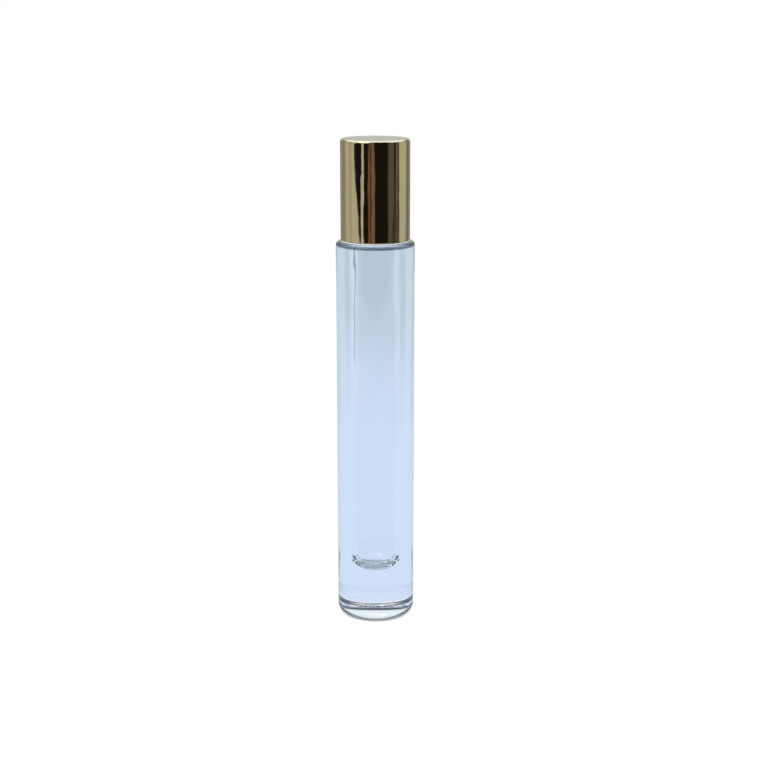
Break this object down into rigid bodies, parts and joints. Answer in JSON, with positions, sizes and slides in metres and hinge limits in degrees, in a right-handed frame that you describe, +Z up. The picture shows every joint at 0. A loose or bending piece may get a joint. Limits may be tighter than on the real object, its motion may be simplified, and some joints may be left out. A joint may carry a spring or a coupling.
{
  "type": "roll on bottle",
  "caption": "Slim clear glass roll on bottle with a thick glass base, a rolling ball held in its neck and a tall polished gold screw cap.",
  "frame": {"origin": "on the resting plane, at the centre of the round base", "axes": "+Z up along the bottle's axis, towards the cap; the bottle is round, so +X and +Y are free"},
  "size_m": [0.0185, 0.0184, 0.116],
  "materials": {
    "clear_glass": "clear flint glass, moulded, with fire-polished outside",
    "housing_plastic": "natural polyethylene, moulded",
    "ball_steel": "polished stainless steel",
    "pad_foam": "soft closed-cell polyethylene",
    "liner_plastic": "white polypropylene, moulded",
    "gold_aluminium": "drawn shell, mirror-polished and anodised pale gold"
  },
  "bodies": {
    "bottle": {"glass_bottle": "clear_glass", "roller_housing": "housing_plastic"},
    "ball": {"roller_ball": "ball_steel"},
    "seal": {"seal_pad": "pad_foam"},
    "cap": {"cap_liner": "liner_plastic", "cap_shell": "gold_aluminium"}
  },
  "joints": [
    {"name": "ball_roll", "type": "hinge", "parent": "bottle", "child": "ball", "pos_m": [0, 0, 0.1082], "axis": [1, 0, 0], "continuous": true},
    {"name": "cap_lift", "type": "slide", "parent": "bottle", "child": "seal", "axis": [0, 0, 1], "range_m": [0, 0.0225]},
    {"name": "cap_turn", "type": "hinge", "parent": "seal", "child": "cap", "pos_m": [0, 0, 0.093], "axis": [0, 0, 1], "range_deg": [0, 3240]}
  ],
  "couplings": [
    {"joint": "cap_lift", "follows": "cap_turn", "m_per_rad": 0.00039789}
  ]
}
